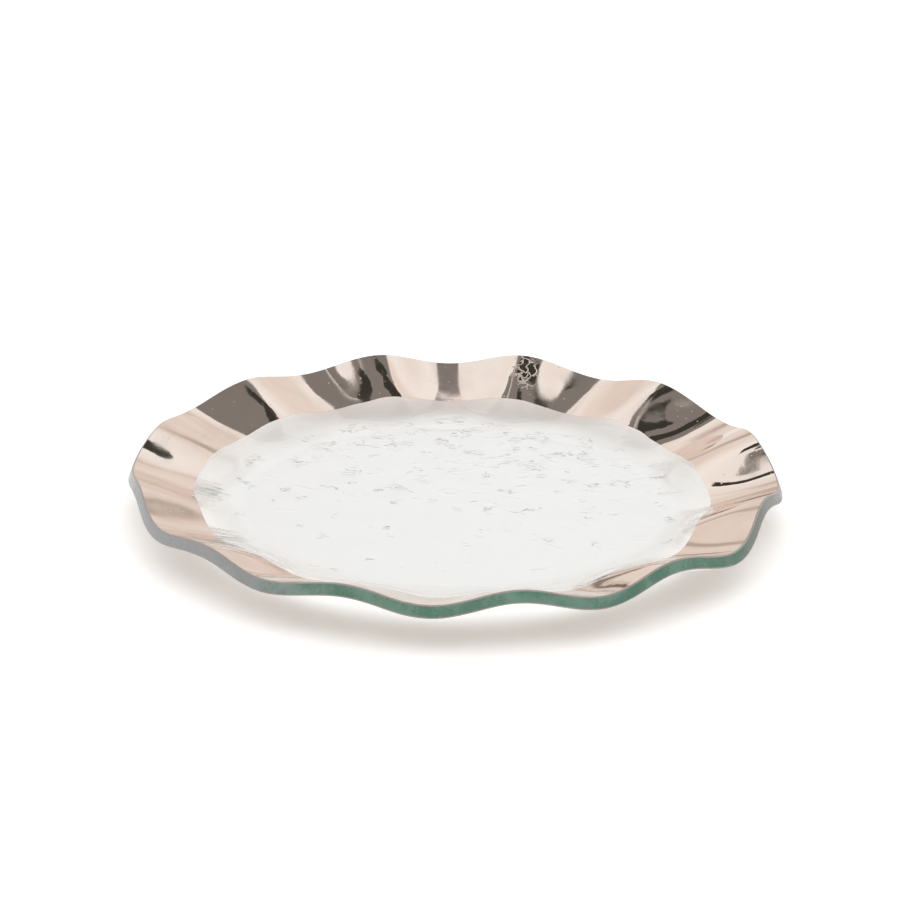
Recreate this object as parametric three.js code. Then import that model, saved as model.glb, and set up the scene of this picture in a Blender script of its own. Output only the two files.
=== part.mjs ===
// Ruffled glass salad plate with a metal band on its rim.
// Millimetres, +Z up. The origin is the centre of the flat underside, where the plate stands.
import * as THREE from "three";

// Sheet of glass: flat well, one bend, then a straight sloping rim
const glassThickness = 4.6;
const rimEdgeRadius = 117.2; // upper edge of the rim, midway between crest and trough
const rimRise = 13.4; // upper edge of the rim over the floor of the well
const rimSlopeDegrees = 21.1;
const bendRadius = 36; // upper face, where the well turns up into the rim
const edgeRound = 0.5; // ground arris along both sides of the edge

// Ruffles: waves round the rim that grow from nothing beside the well to full height at the edge
const ruffleCount = 12;
const ruffleHeight = 2.5; // crest or trough from the mean
const ruffleStart = 4; // on the upper face, from the end of the flat well
const ruffleGrowthPower = 0.65; // below 1, the waves rise early and level off at the edge
const ruffleLean = 0.49; // inward shift of a crest for each unit of its lift
const firstCrestDegrees = 13.6; // from +X, counter-clockwise

// Hand slumping leaves the ruffles a little uneven round the rim
const higherToPlusX = 0.69;
const higherToPlusY = 0.4;
const crestDriftOnce = -0.6; // radians of wave, once round
const crestDriftTwice = -0.16; // radians of wave, twice round

// Metal band: a film fired on the rim's upper face, as far out as the arris
const bandWidth = 24;
const filmThickness = 0.2;
const filmClearance = 0.05; // between the film and the glass it lies on

// Mesh steps
const columnsPerRuffle = 10;
const stepsToBand = 6;
const stepsAcrossBand = 4;
const stepsOfArris = 3;

// Places along the upper face, as distances from the end of the flat well
const slope = THREE.MathUtils.degToRad(rimSlopeDegrees);
const bendLength = bendRadius * slope;
const bendRise = bendRadius * (1 - Math.cos(slope));
const straightLength = (rimRise - bendRise) / Math.sin(slope);
const rimLength = bendLength + straightLength;
const wellRadius =
  rimEdgeRadius - bendRadius * Math.sin(slope) - straightLength * Math.cos(slope);
const bandStart = rimLength - bandWidth;
const arrisStart = rimLength - edgeRound;

// Part of the full ruffle height that the rim has reached at this distance.
function ruffleShare(along) {
  const way = (along - ruffleStart) / (rimLength - ruffleStart);
  return THREE.MathUtils.smoothstep(Math.max(way, 0) ** ruffleGrowthPower, 0, 1);
}

// Point of the plate's section at a distance along the upper face and a height over that face.
function sectionPoint(along, over) {
  const angle = Math.min(along / bendRadius, slope);
  const straight = Math.max(along - bendLength, 0);
  const radius = bendRadius - over;
  return {
    r: wellRadius + radius * Math.sin(angle) + straight * Math.cos(slope),
    z: glassThickness + bendRadius - radius * Math.cos(angle) + straight * Math.sin(slope),
    share: ruffleShare(along),
  };
}

// Evenly spaced values from one number to another, both included.
function spaced(from, to, steps) {
  return Array.from({ length: steps + 1 }, (_, i) => from + ((to - from) * i) / steps);
}

// Lift of the full ruffle at an angle round the plate.
function ruffleLift(angle) {
  const height = ruffleHeight + higherToPlusX * Math.cos(angle) + higherToPlusY * Math.sin(angle);
  const firstCrest = THREE.MathUtils.degToRad(firstCrestDegrees);
  const drift = crestDriftOnce * Math.sin(angle) + crestDriftTwice * Math.sin(2 * angle);
  return height * Math.cos(ruffleCount * (angle - firstCrest) + drift);
}

// Turns a section about the plate's axis and ruffles it.
function ruffledLathe(section) {
  const outline = section.map((point) => new THREE.Vector2(point.r, point.z));
  const geometry = new THREE.LatheGeometry(outline, ruffleCount * columnsPerRuffle);
  geometry.rotateX(Math.PI / 2);
  const position = geometry.getAttribute("position");
  for (let i = 0; i < position.count; i++) {
    const { r, z, share } = section[i % section.length];
    const angle = Math.atan2(position.getY(i), position.getX(i));
    const lift = share * ruffleLift(angle);
    const radius = r - ruffleLean * lift;
    position.setXYZ(i, radius * Math.cos(angle), radius * Math.sin(angle), z + lift);
  }
  geometry.computeVertexNormals();
  return geometry;
}

// Splits each four-sided facet along its other diagonal.
function turnDiagonals(geometry) {
  const corners = geometry.getIndex().array;
  for (let i = 0; i < corners.length; i += 6) {
    const [a, b, d, c] = corners.slice(i, i + 4);
    corners.set([a, b, c, a, c, d], i);
  }
}

// Distances at which the rim's faces have a ring of points, shared so that the film follows the glass
const ringsToBand = spaced(0, bandStart, stepsToBand);
const ringsAcrossBand = spaced(bandStart, arrisStart, stepsAcrossBand);

// The glass, from the middle of its underside round the edge to the middle of the well
function glassPlate() {
  const rings = [...ringsToBand, ...ringsAcrossBand.slice(1)];
  const underside = rings.map((along) => sectionPoint(along, -glassThickness));
  const upperFace = rings.map((along) => sectionPoint(along, 0)).reverse();
  const arris = spaced(0, Math.PI / 2, stepsOfArris);
  const lowerArris = arris.slice(1).map((turn) =>
    sectionPoint(
      arrisStart + edgeRound * Math.sin(turn),
      -glassThickness + edgeRound * (1 - Math.cos(turn)),
    ),
  );
  const upperArris = arris.slice(0, -1).map((turn) =>
    sectionPoint(arrisStart + edgeRound * Math.cos(turn), -edgeRound * (1 - Math.sin(turn))),
  );
  const section = [
    { r: 0, z: 0, share: 0 },
    ...underside,
    ...lowerArris,
    ...upperArris,
    ...upperFace,
    { r: 0, z: glassThickness, share: 0 },
  ];
  const material = new THREE.MeshStandardMaterial({
    color: 0xdfe9e3,
    roughness: 0.03,
    metalness: 0,
    transparent: true,
    opacity: 0.4,
  });
  const mesh = new THREE.Mesh(ruffledLathe(section), material);
  mesh.name = "glass_plate";
  return mesh;
}

// The film, a closed ring that follows the glass at the clearance. Its lower face looks down on the
// glass, so its facets match those under it only with their diagonals turned.
function metalRimBand() {
  const lower = ringsAcrossBand.map((along) => sectionPoint(along, filmClearance));
  const upper = ringsAcrossBand
    .map((along) => sectionPoint(along, filmClearance + filmThickness))
    .reverse();
  const geometry = ruffledLathe([...lower, ...upper, lower[0]]);
  turnDiagonals(geometry);
  const material = new THREE.MeshStandardMaterial({
    color: 0xe5d3c8,
    roughness: 0.06,
    metalness: 1,
  });
  const mesh = new THREE.Mesh(geometry, material);
  mesh.name = "metal_rim_band";
  return mesh;
}

const plate = new THREE.Group();
plate.add(glassPlate(), metalRimBand());

export default plate;
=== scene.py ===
import math

import bmesh
import bpy
from mathutils import Matrix, Vector, noise


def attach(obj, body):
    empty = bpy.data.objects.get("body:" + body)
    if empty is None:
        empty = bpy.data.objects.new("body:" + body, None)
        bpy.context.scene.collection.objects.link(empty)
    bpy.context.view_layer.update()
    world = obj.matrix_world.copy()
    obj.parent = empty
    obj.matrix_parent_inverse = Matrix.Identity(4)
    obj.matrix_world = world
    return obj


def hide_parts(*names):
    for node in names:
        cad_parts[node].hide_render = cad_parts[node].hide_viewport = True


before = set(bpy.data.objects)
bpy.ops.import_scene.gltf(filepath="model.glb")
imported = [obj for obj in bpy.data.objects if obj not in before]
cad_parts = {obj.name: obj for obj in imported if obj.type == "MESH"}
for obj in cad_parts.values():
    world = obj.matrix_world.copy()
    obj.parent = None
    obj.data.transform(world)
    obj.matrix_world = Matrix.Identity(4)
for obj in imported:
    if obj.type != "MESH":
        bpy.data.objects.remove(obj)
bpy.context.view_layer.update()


# Sheet of glass
# A round cut from clear float glass with its edge ground, softened in a kiln until it slumps over a
# mould with a flat floor and a ruffled rim. Its underside keeps the wrinkles of the mould's floor.
glass_thickness = 0.0046
rim_edge_radius = 0.1172
rim_rise = 0.0134
rim_slope = math.radians(21.1)
bend_radius = 0.036
edge_round = 0.0005

bend_length = bend_radius * rim_slope
bend_rise = bend_radius * (1 - math.cos(rim_slope))
straight_length = (rim_rise - bend_rise) / math.sin(rim_slope)
rim_length = bend_length + straight_length
well_radius = rim_edge_radius - bend_radius * math.sin(rim_slope) - straight_length * math.cos(rim_slope)
blank_radius = well_radius + rim_length

ruffle_count = 12
ruffle_height = 0.0025
ruffle_start = 0.004
ruffle_growth_power = 0.65
ruffle_lean = 0.49
first_crest = math.radians(13.6)
higher_to_plus_x = 0.00069
higher_to_plus_y = 0.0004
crest_drift_once = -0.6
crest_drift_twice = -0.16
ripple_height = 0.00012
ripple_size = 0.012


def eased(share):
    """Smooth step from 0 to 1."""
    held = min(max(share, 0), 1)
    return held * held * (3 - 2 * held)


def ruffle_wave(angle):
    """The ruffles round the rim, 1 on a crest and -1 in a trough."""
    drift = crest_drift_once * math.sin(angle) + crest_drift_twice * math.sin(2 * angle)
    return math.cos(ruffle_count * (angle - first_crest) + drift)


def ruffle_lift(angle, along):
    """Height that the ruffles, and small ripples of the softened sheet, give the rim at this place."""
    height = ruffle_height + higher_to_plus_x * math.cos(angle) + higher_to_plus_y * math.sin(angle)
    wave = ruffle_wave(angle)
    way = max((along - ruffle_start) / (rim_length - ruffle_start), 0)
    reach = (well_radius + along) / ripple_size
    ripple = noise.noise((reach * math.cos(angle), reach * math.sin(angle), 0))
    return eased(way ** ruffle_growth_power) * (height * wave + ripple_height * ripple)


def slump(blank):
    """Bends a flat blank over the mould: well, bend, sloping rim and ruffles."""
    for vert in blank.verts:
        along = math.hypot(vert.co.x, vert.co.y) - well_radius
        if along <= 0:
            continue
        angle = math.atan2(vert.co.y, vert.co.x)
        turn = min(along / bend_radius, rim_slope)
        straight = max(along - bend_length, 0)
        radius = bend_radius - (vert.co.z - glass_thickness)
        lift = ruffle_lift(angle, along)
        reach = well_radius + radius * math.sin(turn) + straight * math.cos(rim_slope)
        reach -= ruffle_lean * lift
        rise = glass_thickness + bend_radius - radius * math.cos(turn) + straight * math.sin(rim_slope)
        vert.co = (reach * math.cos(angle), reach * math.sin(angle), rise + lift)


sector_columns = 32
sector_doublings = 4
sector = math.tau / 2**sector_doublings
touching = 1e-6


def turn_on_lathe(blank):
    """Spins a section of points into one sector of a round, then copies it until the round is full."""
    bmesh.ops.spin(
        blank,
        geom=blank.verts[:] + blank.edges[:],
        cent=(0, 0, 0),
        axis=(0, 0, 1),
        angle=sector,
        steps=sector_columns,
    )
    for doubling in range(sector_doublings):
        made = bmesh.ops.duplicate(blank, geom=blank.verts[:] + blank.edges[:] + blank.faces[:])
        copied = [part for part in made["geom"] if isinstance(part, bmesh.types.BMVert)]
        turn = Matrix.Rotation(sector * 2**doubling, 3, "Z")
        bmesh.ops.rotate(blank, verts=copied, cent=(0, 0, 0), matrix=turn)
    bmesh.ops.remove_doubles(blank, verts=blank.verts, dist=touching)
    bmesh.ops.recalc_face_normals(blank, faces=blank.faces)


rings_of_flat_face = 3
rings_of_rim = 29
rings_of_marked_face = 109
arris_steps = 4
edge_finish = 1
arris_finish = 2

blank = bmesh.new()
section = [
    blank.verts.new((reach, 0, height))
    for reach, height in (
        (0, glass_thickness),
        (well_radius, glass_thickness),
        (blank_radius, glass_thickness),
        (blank_radius, 0),
        (well_radius, 0),
        (0, 0),
    )
]
section_lines = [blank.edges.new(pair) for pair in zip(section, section[1:])]
section_cuts = (rings_of_flat_face, rings_of_rim, 1, rings_of_rim, rings_of_marked_face)
for line, cuts in zip(section_lines, section_cuts):
    bmesh.ops.subdivide_edges(blank, edges=[line], cuts=cuts)
turn_on_lathe(blank)

arrises = [
    edge
    for edge in blank.edges
    if all(
        vert.co.xy.length > blank_radius - touching
        and abs(vert.co.z - glass_thickness / 2) > glass_thickness / 4
        for vert in edge.verts
    )
]
bmesh.ops.bevel(
    blank,
    geom=arrises,
    offset=edge_round,
    offset_type="OFFSET",
    segments=arris_steps,
    profile=0.5,
    affect="EDGES",
    material=-1,
)

edge_from = blank_radius - 1.01 * edge_round
for face in blank.faces:
    if all(vert.co.xy.length > edge_from for vert in face.verts):
        from_middle = abs(face.calc_center_median().z - glass_thickness / 2)
        in_arris = from_middle > glass_thickness / 2 - edge_round
        face.material_index = arris_finish if in_arris else edge_finish

# Marks of the mould's floor: a faint swell all over, and short wrinkles that lie along X in patches
swell_size = 0.017
swell_height = 0.00012
wrinkle_length = 0.009
wrinkle_width = 0.005
wrinkle_plane = 0.4
wrinkle_share = 0.13
wrinkle_height = 0.00005
patch_size = 0.0065
patch_shift = Vector((1.7, 9.2, 5.5))
patch_level = 0.27
patch_soft = 0.25
more_to_back = 2.6
marks_end = well_radius + 0.010
marks_fade = 0.012


def mould_mark(place):
    """Height of the underside over the mould's floor, never below it."""
    swell = 0.5 + 0.5 * noise.noise(place / swell_size)
    stretched = Vector((place.x / wrinkle_length, place.y / wrinkle_width, wrinkle_plane))
    crease = abs(noise.noise(stretched))
    patch = noise.noise(place / patch_size + patch_shift) + more_to_back * place.y
    wrinkle = eased(1 - crease / wrinkle_share) * eased((patch - patch_level) / patch_soft)
    return swell_height * swell + wrinkle_height * wrinkle


for vert in blank.verts:
    reach = vert.co.xy.length
    if vert.co.z < touching and reach < marks_end:
        vert.co.z = mould_mark(vert.co.xy.to_3d()) * eased((marks_end - reach) / marks_fade)

# Where the sheet folds down into a trough of the ruffles, fine creases run inwards from the rim
crease_start = 0.005
crease_full = 0.013
crease_spread = 0.030
crease_shift = Vector((3.1, 0.7, 8.4))
crease_back = 0.060
fold_level = 0.1
fold_soft = 0.7
chance_level = -0.15
chance_soft = 0.4
crease_layer = blank.verts.layers.float.new("crease")
for vert in blank.verts:
    along = vert.co.xy.length - well_radius
    fold = -ruffle_wave(math.atan2(vert.co.y, vert.co.x))
    chance = noise.noise(vert.co.xy.to_3d() / crease_spread + crease_shift)
    reached = eased((along - crease_start) / (crease_full - crease_start))
    folds_here = eased((fold - fold_level) / fold_soft)
    creases_here = eased((chance - chance_level) / chance_soft)
    not_at_back = eased((crease_back - vert.co.y) / crease_spread)
    vert[crease_layer] = folds_here * reached * creases_here * not_at_back
slump(blank)


class Shade:
    """A socket of a material's nodes. Arithmetic on it adds Math nodes to the material."""

    def __init__(self, tree, socket=None):
        self.tree = tree
        self.socket = socket

    def node(self, kind, settings=None, inputs=None, output=0):
        """Adds a node: its settings first, then the values or links of its inputs."""
        made = self.tree.nodes.new(kind)
        for name, value in (settings or {}).items():
            setattr(made, name, value)
        for name, value in (inputs or {}).items():
            if isinstance(value, Shade):
                self.tree.links.new(value.socket, made.inputs[name])
            else:
                made.inputs[name].default_value = value
        return Shade(self.tree, made.outputs[output]) if made.outputs else None

    def math(self, operation, first, second=0.0):
        return self.node("ShaderNodeMath", {"operation": operation}, {0: first, 1: second})

    def __add__(self, other):
        return self.math("ADD", self, other)

    def __radd__(self, other):
        return self.math("ADD", other, self)

    def __sub__(self, other):
        return self.math("SUBTRACT", self, other)

    def __rsub__(self, other):
        return self.math("SUBTRACT", other, self)

    def __mul__(self, other):
        return self.math("MULTIPLY", self, other)

    def __rmul__(self, other):
        return self.math("MULTIPLY", other, self)


def new_finish(name):
    """An empty material and the start of its nodes."""
    material = bpy.data.materials.new(name)
    material.use_nodes = True
    material.node_tree.nodes.clear()
    return material, Shade(material.node_tree)


def mottled(shade, place, scale, detail=2.0):
    """Cloudy noise from 0 to 1."""
    return shade.node("ShaderNodeTexNoise", {}, {"Vector": place, "Scale": scale, "Detail": detail})


def stepped(shade, value, none_at, full_at):
    """Smooth step from 0, where the value is none_at, to 1, where it is full_at."""
    return shade.node(
        "ShaderNodeMapRange",
        {"interpolation_type": "SMOOTHSTEP"},
        {"Value": value, "From Min": none_at, "From Max": full_at},
    )


def mixed(shade, share, first, second):
    """The first colour, with this share of it replaced by the second."""
    return shade.node("ShaderNodeMix", {"data_type": "RGBA"}, {0: share, 6: first, 7: second}, output=2)


def from_axis(shade, place):
    """A place in plan, and its distance from the plate's axis."""
    plan = shade.node("ShaderNodeVectorMath", {"operation": "MULTIPLY"}, {0: place, 1: (1, 1, 0)})
    reach = shade.node("ShaderNodeVectorMath", {"operation": "LENGTH"}, {0: plan}, output="Value")
    return plan, reach


def round_plate(shade, place, round_scale, across_scale):
    """Coordinates that run round the plate and out from its axis, each at its own scale."""
    plan, reach = from_axis(shade, place)
    heading = shade.node("ShaderNodeVectorMath", {"operation": "NORMALIZE"}, {0: plan})
    turned = shade.node(
        "ShaderNodeVectorMath", {"operation": "SCALE"}, {0: heading, "Scale": round_scale}
    )
    outwards = shade.node("ShaderNodeCombineXYZ", {}, {"Z": reach * across_scale})
    return shade.node("ShaderNodeVectorMath", {"operation": "ADD"}, {0: turned, 1: outwards})


def lets_light_through(shade, body, tint):
    """Glass that the light of the room passes on its way to what lies under it."""
    light_pass = shade.node("ShaderNodeBsdfTransparent", {}, {"Color": tint})
    shadow_ray = shade.node("ShaderNodeLightPath", output="Is Shadow Ray")
    diffuse_ray = shade.node("ShaderNodeLightPath", output="Is Diffuse Ray")
    shadow_glass = shade.node("ShaderNodeMixShader", {}, {0: shadow_ray, 1: body, 2: light_pass})
    return shade.node("ShaderNodeMixShader", {}, {0: diffuse_ray, 1: shadow_glass, 2: light_pass})


glass_ior = 1.52
glass_tint = (0.167, 0.70, 0.433, 1)
glass_tint_density = 5.0
light_tint = (0.92, 0.917, 0.913, 1)
# The glass's colour by zone is painted light and shade: near clear and faintly pink on the slopes,
# darker and pinker at the back as a painted shadow of the band seen through the glass, and greyer in the
# well as a painted shade.
slope_painted_tint = (1.0, 0.98, 0.97, 1)
back_painted_shadow = (0.79, 0.72, 0.69, 1)
back_shadow_from = 0.05
back_shadow_full = 0.095
well_painted_shade = (0.82, 0.807, 0.805, 1)
well_blend = 0.021
handling_scale = 55.0
handling_roughness = 0.02
noise_middle = 0.5
creases_round = 70.0
creases_across = 25.0
crease_width = 0.05
crease_depth = 0.00006
dash_scale = (170.0, 430.0, 0.0)
dash_width = 0.03
dash_depth = 0.00006
dash_patch_scale = 110.0
dash_patch_from = 0.60
dash_patch_full = 0.68
dash_to_back = 1.2

clear_glass, shade = new_finish("clear_float_glass")
place = shade.node("ShaderNodeTexCoord", output="Object")
back = shade.node("ShaderNodeSeparateXYZ", {}, {"Vector": place}, output="Y")
level = shade.node("ShaderNodeSeparateXYZ", {}, {"Vector": place}, output="Z")
plan, reach = from_axis(shade, place)
in_well = stepped(shade, reach, well_radius + well_blend, well_radius + well_blend / 3)
# Painted shade: the glass's colour mixes from the slopes' tint to the painted shadow at the back, and to
# the greyer painted shade in the well.
in_back_shadow = stepped(shade, back, back_shadow_from, back_shadow_full)
rim_painted_shade = mixed(shade, in_back_shadow, slope_painted_tint, back_painted_shadow)
painted_shade_tint = mixed(shade, in_well, rim_painted_shade, well_painted_shade)
handling = mottled(shade, place, handling_scale, 3.0)
folded = shade.node("ShaderNodeAttribute", {"attribute_name": "crease"}, output="Fac")
fold_lines = mottled(shade, round_plate(shade, place, creases_round, creases_across), 1.0)
crease_line = stepped(shade, shade.math("ABSOLUTE", fold_lines - noise_middle), crease_width, 0.0)
underside = shade.node(
    "ShaderNodeMapRange",
    {},
    {"Value": level, "From Min": glass_thickness / 2, "From Max": glass_thickness / 4},
)
dash_place = shade.node("ShaderNodeVectorMath", {"operation": "MULTIPLY"}, {0: plan, 1: dash_scale})
dash_noise = mottled(shade, dash_place, 1.0, 1.0)
dash = stepped(shade, shade.math("ABSOLUTE", dash_noise - noise_middle), dash_width, 0.0)
dash_patch = mottled(shade, plan, dash_patch_scale)
dashed = stepped(shade, dash_patch + back * dash_to_back, dash_patch_from, dash_patch_full)
glass_height = folded * crease_line * crease_depth + in_well * underside * dash * dashed * dash_depth
glass_relief = shade.node(
    "ShaderNodeBump", {}, {"Strength": 1.0, "Distance": 1.0, "Height": glass_height}
)
# The glass's base colour is this painted shade of its zones.
glass_body = shade.node(
    "ShaderNodeBsdfPrincipled",
    {},
    {
        "Base Color": painted_shade_tint,
        "Roughness": handling * handling_roughness,
        "IOR": glass_ior,
        "Transmission Weight": 1.0,
        "Normal": glass_relief,
    },
)
glass_surface = lets_light_through(shade, glass_body, light_tint)
glass_depth = shade.node(
    "ShaderNodeVolumeAbsorption", {}, {"Color": glass_tint, "Density": glass_tint_density}
)
shade.node("ShaderNodeOutputMaterial", {}, {"Surface": glass_surface, "Volume": glass_depth})

edge_green = (0.070, 0.185, 0.127, 1)
edge_teal = (0.155, 0.285, 0.225, 1)
# The silver and brown colours below are painted light and shade, not the glass's own colour: a painted
# sheen, pale silver where the edge turns from view and on the minus X side, and a painted shade, darker
# brown on the plus X side.
edge_painted_sheen = (0.325, 0.335, 0.345, 1)
edge_painted_shade = (0.165, 0.165, 0.15, 1)
edge_light_tint = (0.80, 0.84, 0.81, 1)
shade_to_sheen_turn = 0.07
edge_roughness = 0.20
cloud_scale = 110.0
grit_scale = 1400.0
grit_depth = 0.00005
grit_strength = 0.5
paler_grit = 0.25
paler_from = 0.48
paler_full = 0.85
paler_roughness = 0.15
scuff_scale = 150.0
scuff_grit = 0.12
scuff_border = 0.20
scuff_core = 0.10
scuff_strength = 0.5
# How the painted sheen spreads: with the cloud, towards minus X, and where the edge turns from view.
sheen_cloud = 0.25
sheen_to_minus_x = 2.2
sheen_from = 0.22
sheen_full = 0.62

ground_edge, shade = new_finish("ground_glass_edge")
place = shade.node("ShaderNodeTexCoord", output="Object")
aside = shade.node("ShaderNodeSeparateXYZ", {}, {"Vector": place}, output="X")
cloud = mottled(shade, place, cloud_scale, 5.0)
grit = mottled(shade, place, grit_scale)
paler = stepped(shade, cloud + grit * paler_grit, paler_from, paler_full)
scuff_distance = shade.node(
    "ShaderNodeTexVoronoi", {}, {"Vector": place, "Scale": scuff_scale}, output="Distance"
)
scuff = stepped(shade, scuff_distance + grit * scuff_grit, scuff_border, scuff_core)
# Painted sheen and shade: where the edge turns from view and towards minus X its colour goes to silver,
# towards plus X to darker brown. Scuffs, which are real wear, take the same colour.
slant = shade.node("ShaderNodeLayerWeight", {}, {"Blend": 0.5}, output="Facing")
painted_sheen = stepped(
    shade, slant + cloud * sheen_cloud - aside * sheen_to_minus_x, sheen_from, sheen_full
)
painted_sheen_and_shade = mixed(shade, stepped(shade, aside, shade_to_sheen_turn, -shade_to_sheen_turn), edge_painted_shade, edge_painted_sheen)
depth_colour = mixed(shade, paler, edge_green, edge_teal)
sheen_and_scuffs = shade.math("MAXIMUM", painted_sheen, scuff * scuff_strength)
edge_colour = mixed(shade, sheen_and_scuffs, depth_colour, painted_sheen_and_shade)
edge_relief = shade.node(
    "ShaderNodeBump", {}, {"Strength": grit_strength, "Distance": grit_depth, "Height": grit}
)
edge_body = shade.node(
    "ShaderNodeBsdfPrincipled",
    {},
    {
        "Base Color": edge_colour,
        "Roughness": edge_roughness + paler * paler_roughness,
        "IOR": glass_ior,
        "Normal": edge_relief,
    },
)
edge_surface = lets_light_through(shade, edge_body, edge_light_tint)
shade.node("ShaderNodeOutputMaterial", {}, {"Surface": edge_surface})

arris_grey = (0.34, 0.31, 0.28, 1)
arris_roughness = 0.15
nick_scale = 500.0
nick_roughness = 0.3

ground_arris, shade = new_finish("ground_glass_arris")
place = shade.node("ShaderNodeTexCoord", output="Object")
nicks = mottled(shade, place, nick_scale, 3.0)
arris_body = shade.node(
    "ShaderNodeBsdfPrincipled",
    {},
    {
        "Base Color": arris_grey,
        "Roughness": arris_roughness + nicks * nick_roughness,
        "IOR": glass_ior,
    },
)
arris_surface = lets_light_through(shade, arris_body, edge_light_tint)
shade.node("ShaderNodeOutputMaterial", {}, {"Surface": arris_surface})

sharp_corner = math.radians(50)


def settled(blank, name, *finishes):
    """Makes the shaped blank an object with its finishes, smooth between sharp corners."""
    mesh = bpy.data.meshes.new(name)
    blank.to_mesh(mesh)
    blank.free()
    mesh.polygons.foreach_set("use_smooth", [True] * len(mesh.polygons))
    mesh.set_sharp_from_angle(angle=sharp_corner)
    for finish in finishes:
        mesh.materials.append(finish)
    piece = bpy.data.objects.new(name, mesh)
    bpy.context.scene.collection.objects.link(piece)
    return piece


glass_sheet = settled(blank, "glass_sheet", clear_glass, ground_edge, ground_arris)
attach(glass_sheet, "root")
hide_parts("glass_plate")


# Metal band
# A precious-metal film, brushed by hand on the rim's upper face as far as the arris and fired until
# it fuses to the glass. It is mirror-bright, and its inner edge wavers as the brush did.
band_width = 0.0245
band_wider_to_plus_x = 0.0009
film_gap = 0.00003
film_thickness = 0.00010
rings_of_band = 16
brush_waver = 0.00045
waver_size = 0.009

band_inner = blank_radius - band_width
band_outer = blank_radius - edge_round
film_under = glass_thickness + film_gap
film_top = film_under + film_thickness

film = bmesh.new()
film_section = [
    film.verts.new((reach, 0, height))
    for reach, height in (
        (band_inner, film_under),
        (band_outer, film_under),
        (band_outer, film_top),
        (band_inner, film_top),
    )
]
film_lines = [film.edges.new(pair) for pair in zip(film_section, film_section[1:] + film_section[:1])]
bmesh.ops.subdivide_edges(film, edges=[film_lines[0], film_lines[2]], cuts=rings_of_band)
turn_on_lathe(film)
for vert in film.verts:
    reach = vert.co.xy.length
    heading = vert.co.xy.normalized().to_3d()
    waver = brush_waver * noise.noise(heading * blank_radius / waver_size)
    waver -= band_wider_to_plus_x * heading.x
    inward = eased((band_outer - reach) / (band_outer - band_inner))
    vert.co.xy = heading.xy * (reach + waver * inward)
slump(film)

film_colour = (0.775, 0.65, 0.57, 1)
film_dull = (0.71, 0.60, 0.53, 1)
film_roughness = 0.035
strokes_round = 10.0
strokes_across = 700.0
stroke_depth = 0.000003
haze_scale = 45.0
haze_from = 0.45
haze_full = 0.65
haze_roughness = 0.16
flow_scale = 180.0
flow_depth = 0.00002
grain_scale = 1300.0
grain_depth = 0.000006
pit_scale = 260.0
pit_border = 0.10
pit_core = 0.03
pit_depth = 0.00003
pit_roughness = 0.15
crazed_spot = (0.0275, 0.104, 0.017)
crazed_size = (0.006, 0.013, 0.013)
crazed_core = 0.5
crack_scale = 200.0
crack_wave_scale = 250.0
crack_waver = 0.006
crack_width = 0.07
crack_depth = 0.00004
crack_roughness = 0.6

fired_metal, shade = new_finish("fired_metal_film")
place = shade.node("ShaderNodeTexCoord", output="Object")
strokes = mottled(shade, round_plate(shade, place, strokes_round, strokes_across), 1.0, 3.0)
hazy = stepped(shade, mottled(shade, place, haze_scale), haze_from, haze_full)
flow = mottled(shade, place, flow_scale)
grain = mottled(shade, place, grain_scale)
pit_distance = shade.node(
    "ShaderNodeTexVoronoi", {}, {"Vector": place, "Scale": pit_scale}, output="Distance"
)
pits = stepped(shade, pit_distance, pit_border, pit_core)
wave = shade.node(
    "ShaderNodeTexNoise", {}, {"Vector": place, "Scale": crack_wave_scale}, output="Color"
)
waved = shade.node("ShaderNodeVectorMath", {"operation": "SCALE"}, {0: wave, "Scale": crack_waver})
wavy_place = shade.node("ShaderNodeVectorMath", {"operation": "ADD"}, {0: place, 1: waved})
crack_distance = shade.node(
    "ShaderNodeTexVoronoi",
    {"feature": "DISTANCE_TO_EDGE"},
    {"Vector": wavy_place, "Scale": crack_scale},
    output="Distance",
)
from_spot = shade.node("ShaderNodeVectorMath", {"operation": "SUBTRACT"}, {0: place, 1: crazed_spot})
in_spot = shade.node("ShaderNodeVectorMath", {"operation": "DIVIDE"}, {0: from_spot, 1: crazed_size})
away = shade.node("ShaderNodeVectorMath", {"operation": "LENGTH"}, {0: in_spot}, output="Value")
crazed = stepped(shade, away, 1.0, crazed_core) * stepped(shade, crack_distance, crack_width, 0.0)
film_swell = flow * flow_depth + strokes * stroke_depth + hazy * grain * grain_depth
film_height = film_swell - pits * pit_depth - crazed * crack_depth
film_relief = shade.node(
    "ShaderNodeBump", {}, {"Strength": 1.0, "Distance": 1.0, "Height": film_height}
)
dull = hazy * strokes
film_body = shade.node(
    "ShaderNodeBsdfPrincipled",
    {},
    {
        "Base Color": mixed(shade, dull, film_colour, film_dull),
        "Metallic": 1.0,
        "Roughness": film_roughness
        + dull * haze_roughness
        + pits * pit_roughness
        + crazed * crack_roughness,
        "Normal": film_relief,
    },
)
shade.node("ShaderNodeOutputMaterial", {}, {"Surface": film_body})

metal_film = settled(film, "metal_film", fired_metal)
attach(metal_film, "root")
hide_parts("metal_rim_band")


# Floor
# White card, lit to white, that keeps the plate's shadow. Metal mirrors it as an even white, and glass
# shows only part of the shadow on it.
floor_gap = 0.0003
floor_half = 8.0
floor_white = (0.84, 0.84, 0.84, 1)
floor_glow_colour = (1.0, 0.955, 0.905, 1)
floor_glow = 0.36
mirrored_white = (1.02, 1.0, 0.99, 1)
shadow_through_glass = 0.48

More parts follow.
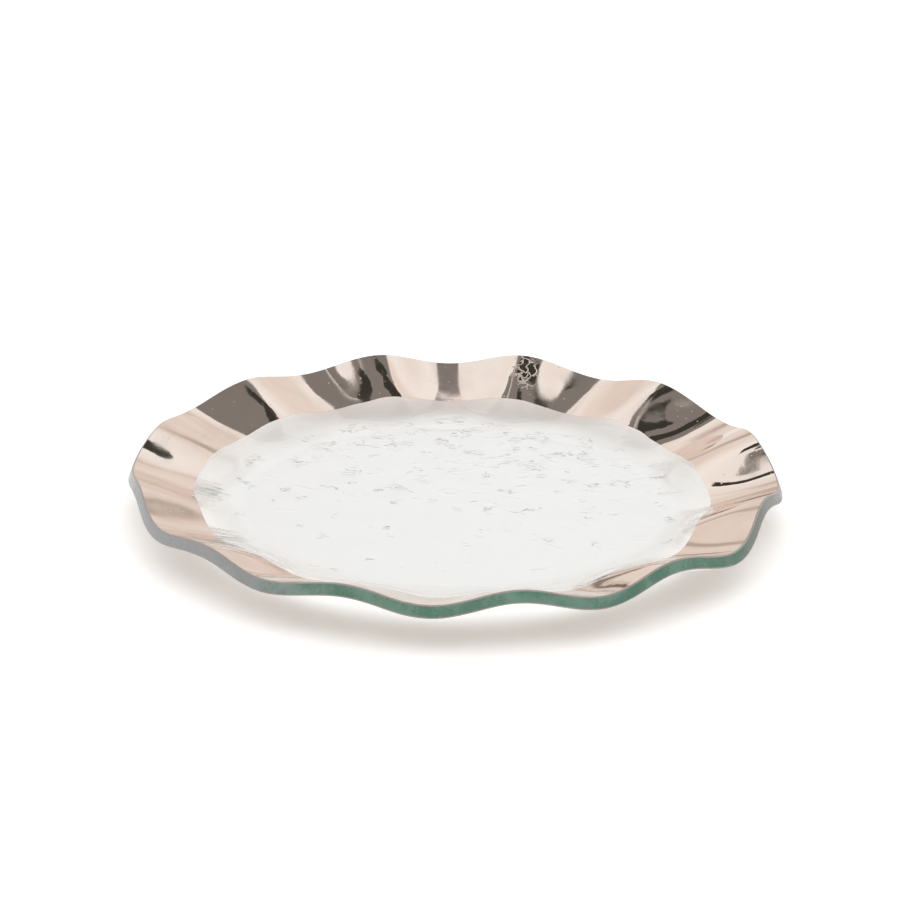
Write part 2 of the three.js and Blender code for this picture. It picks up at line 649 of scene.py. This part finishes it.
floor_paint, shade = new_finish("white_card")
card = shade.node("ShaderNodeBsdfDiffuse", {}, {"Color": floor_white})
glow = shade.node("ShaderNodeEmission", {}, {"Color": floor_glow_colour, "Strength": floor_glow})
lit_card = shade.node("ShaderNodeAddShader", {}, {0: card, 1: glow})
mirrored_card = shade.node("ShaderNodeEmission", {}, {"Color": mirrored_white})
by_metal = shade.node("ShaderNodeLightPath", output="Is Glossy Ray")
by_glass = shade.node("ShaderNodeLightPath", output="Is Transmission Ray")
evened = by_metal * (1 - by_glass * shadow_through_glass)
seen_card = shade.node("ShaderNodeMixShader", {}, {0: evened, 1: lit_card, 2: mirrored_card})
shade.node("ShaderNodeOutputMaterial", {}, {"Surface": seen_card})

ground = bmesh.new()
bmesh.ops.create_grid(ground, x_segments=1, y_segments=1, size=floor_half)
bmesh.ops.translate(ground, verts=ground.verts, vec=(0, 0, -floor_gap))
floor = settled(ground, "floor", floor_paint)


# Studio
# White surroundings and a broad soft light over each side. Grey and black cards hang over the plate, and
# pale stands are round it, that only metal and glass see. They are the same on each of four sides, so
# that the bright film has something dark to mirror from each.
ambient = 0.51
ambient_white = (1.07, 1.0, 0.92, 1)
low_white = (0.89, 0.81, 0.755, 1)
high_white = (1.13, 1.18, 1.21, 1)
camera_white = (1, 1, 1, 1)
room_drift = 3.5
drift_strength = 2.0
side_strength = 0.85
side_white = (0.94, 1.0, 1.10)
side_spread = math.radians(80)
side_lean = math.radians(15)
back_lean = math.radians(12)

world = bpy.data.worlds.new("white_studio")
world.use_nodes = True
world.node_tree.nodes.clear()
shade = Shade(world.node_tree)
heading = shade.node("ShaderNodeTexCoord", output="Generated")
height = shade.node("ShaderNodeSeparateXYZ", {}, {"Vector": heading}, output="Z")
drift = (mottled(shade, heading, room_drift, 1.0) - noise_middle) * drift_strength
room_white = mixed(shade, height + drift, low_white, high_white)
by_camera = shade.node("ShaderNodeLightPath", output="Is Camera Ray")
by_metal = shade.node("ShaderNodeLightPath", output="Is Glossy Ray")
by_glass = shade.node("ShaderNodeLightPath", output="Is Transmission Ray")
mirrored = shade.math("MAXIMUM", by_metal, by_glass)
seen = shade.math("MAXIMUM", mirrored, by_camera)
lit_white = mixed(shade, mirrored, ambient_white, room_white)
white = mixed(shade, by_camera, lit_white, camera_white)
backdrop = shade.node(
    "ShaderNodeBackground", {}, {"Color": white, "Strength": ambient + seen * (1 - ambient)}
)
shade.node("ShaderNodeOutputWorld", {}, {"Surface": backdrop})
bpy.context.scene.world = world

for side, lean in (("left", side_lean), ("right", -side_lean)):
    softbox = bpy.data.lights.new(f"{side}_light", "SUN")
    softbox.energy = side_strength
    softbox.color = side_white
    softbox.angle = side_spread
    lamp = bpy.data.objects.new(f"{side}_light", softbox)
    lamp.rotation_euler = (-back_lean, lean, 0)
    lamp.visible_glossy = False
    lamp.visible_transmission = False
    bpy.context.scene.collection.objects.link(lamp)


def card_paint(name, colour, soft):
    """An even paint, whatever light falls on it, that thins out towards the card's borders."""
    paint, shade = new_finish(name)
    place = shade.node("ShaderNodeTexCoord", output="UV")
    across = shade.node("ShaderNodeSeparateXYZ", {}, {"Vector": place}, output="X")
    along = shade.node("ShaderNodeSeparateXYZ", {}, {"Vector": place}, output="Y")
    cover = 1.0
    for way in (across, 1 - across, along, 1 - along):
        cover = stepped(shade, way, 0.0, soft) * cover
    even = shade.node("ShaderNodeEmission", {}, {"Color": (*colour, 1)})
    clear = shade.node("ShaderNodeBsdfTransparent")
    layer = shade.node("ShaderNodeMixShader", {}, {0: cover, 1: clear, 2: even})
    shade.node("ShaderNodeOutputMaterial", {}, {"Surface": layer})
    return paint


def hang_card(name, paint, place, size):
    """Makes a card in the studio, where only metal and glass see it."""
    sheet = bmesh.new()
    sheet.loops.layers.uv.new("card")
    bmesh.ops.create_grid(sheet, x_segments=1, y_segments=1, size=0.5, calc_uvs=True)
    bmesh.ops.scale(sheet, verts=sheet.verts, vec=(*size, 1))
    bmesh.ops.transform(sheet, verts=sheet.verts, matrix=place)
    hung = settled(sheet, name, paint)
    hung.visible_camera = False
    hung.visible_diffuse = False
    hung.visible_shadow = False


grey_paint = card_paint("grey_card_paint", (0.27, 0.27, 0.265), soft=0.08)
black_paint = card_paint("black_card_paint", (0.050, 0.053, 0.047), soft=0.06)
stand_paint = card_paint("light_stand_paint", (0.55, 0.51, 0.48), soft=0.5)
stand_reach = 3.4
stand_size = (0.36, 2.6)
stand_headings = (math.radians(15.5), math.radians(-12.0))
grey_height = 1.0
hook_height = 0.40
flag_height = 0.30
hung_cards = (
    ("grey_card", grey_paint, (0.05, 0.57, grey_height), (0.50, 0.70), 5),
    ("grey_wing", grey_paint, (-0.15, 0.45, grey_height), (0.26, 0.30), 0),
    ("black_flag", black_paint, (0.055, 0.205, flag_height), (0.10, 0.045), -10),
    ("black_tab", black_paint, (0.01, 0.235, flag_height), (0.06, 0.04), -10),
    ("black_leaf", black_paint, (0.04, 0.15, flag_height), (0.07, 0.02), -25),
    ("black_hook", black_paint, (-0.09, 0.215, hook_height), (0.06, 0.03), -40),
)
upright = Matrix.Rotation(math.pi / 2, 4, "X")
stand_place = Matrix.Translation((0, stand_reach, stand_size[1] / 2)) @ upright
for quarter in range(4):
    facing = Matrix.Rotation(quarter * math.pi / 2, 4, "Z")
    for name, paint, centre, size, degrees in hung_cards:
        turned = Matrix.Rotation(math.radians(degrees), 4, "Z")
        hang_card(f"{name}_{quarter}", paint, facing @ Matrix.Translation(centre) @ turned, size)
    for order, heading in enumerate(stand_headings):
        aside = Matrix.Rotation(-heading, 4, "Z")
        stand = f"light_stand_{quarter}_{order}"
        hang_card(stand, stand_paint, facing @ aside @ stand_place, stand_size)


# Camera
# A long lens in front of the plate that looks down on it.
camera_elevation = math.radians(21.758)
camera_roll = math.radians(0.9017)
camera_offset = (-0.001777, 0.023201, 1.265)
camera_lens = 137.33
camera_sensor = 36

lens = bpy.data.cameras.new("camera")
lens.lens = camera_lens
lens.sensor_width = camera_sensor
camera = bpy.data.objects.new("camera", lens)
camera.matrix_world = (
    Matrix.Rotation(math.pi / 2 - camera_elevation, 4, "X")
    @ Matrix.Translation(camera_offset)
    @ Matrix.Rotation(camera_roll, 4, "Z")
)
bpy.context.scene.collection.objects.link(camera)
bpy.context.scene.camera = camera
bpy.context.scene.view_settings.view_transform = "Standard"
